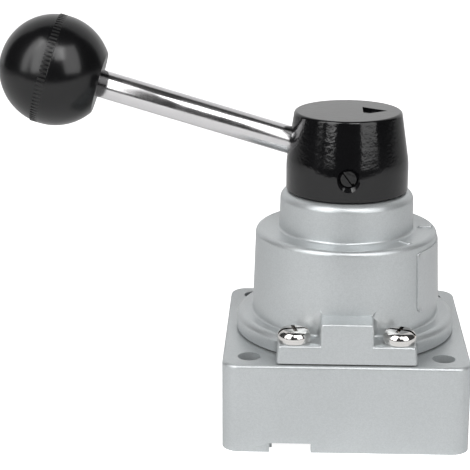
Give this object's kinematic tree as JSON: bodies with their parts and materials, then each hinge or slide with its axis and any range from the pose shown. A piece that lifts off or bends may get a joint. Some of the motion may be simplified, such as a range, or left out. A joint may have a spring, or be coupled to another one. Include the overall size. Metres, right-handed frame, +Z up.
{
  "type": "hand lever air valve",
  "caption": "Square-based rotary air valve with a stepped silver cover and a ball-ended hand lever that turns between detented positions.",
  "frame": {"origin": "centre of the mounting hole pattern, in the plane of the base's underside", "axes": "+Z up along the spindle, the lever points along -X and upwards in its middle position, side ports open along +X and -X"},
  "size_m": [0.1354, 0.07, 0.1187],
  "materials": {
    "silver_casting": "die casting with satin metallic silver paint",
    "gasket_fibre": "dark gasket sheet",
    "bright_steel": "bright nickel plate",
    "hard_chrome": "polished chrome plate",
    "bronze": "sintered bronze",
    "machined_steel": "turned",
    "spring_steel": "drawn wire",
    "brass": "turned",
    "black_rubber": "moulded",
    "black_enamel": "die casting with glossy black enamel",
    "black_resin": "polished phenolic resin",
    "plate_foil": "bare satin aluminium foil",
    "disc_polymer": "filled acetal, lapped"
  },
  "bodies": {
    "housing": {"base_body": "silver_casting", "upper_cover": "silver_casting", "cover_gasket": "gasket_fibre", "cover_screws": "bright_steel", "shaft_bushing": "bronze", "thrust_washer": "bronze", "stop_pin": "machined_steel", "front_detent_spring": "spring_steel", "rear_detent_spring": "spring_steel", "name_plate": "plate_foil"},
    "lever": {"handle_hub": "black_enamel", "hub_set_screw": "bright_steel", "lever_rod": "hard_chrome", "ball_knob": "black_resin", "ball_insert": "brass", "spindle": "machined_steel", "shaft_seal_rings": "black_rubber", "detent_rotor": "machined_steel", "drive_pins": "machined_steel", "disc_spring": "spring_steel", "valve_disc": "disc_polymer"},
    "front_detent": {"front_detent_ball": "machined_steel"},
    "rear_detent": {"rear_detent_ball": "machined_steel"}
  },
  "joints": [
    {"name": "lever_turn", "type": "hinge", "parent": "housing", "child": "lever", "pos_m": [0, 0, 0], "axis": [0, 0, 1], "range_deg": [-45, 45]},
    {"name": "front_detent_slide", "type": "slide", "parent": "housing", "child": "front_detent", "axis": [0, 1, 0], "range_m": [0, 0.0009], "stiffness_N_per_m": 2000, "springref_m": 0.0025},
    {"name": "rear_detent_slide", "type": "slide", "parent": "housing", "child": "rear_detent", "axis": [0, -1, 0], "range_m": [0, 0.0009], "stiffness_N_per_m": 2000, "springref_m": 0.0025}
  ]
}
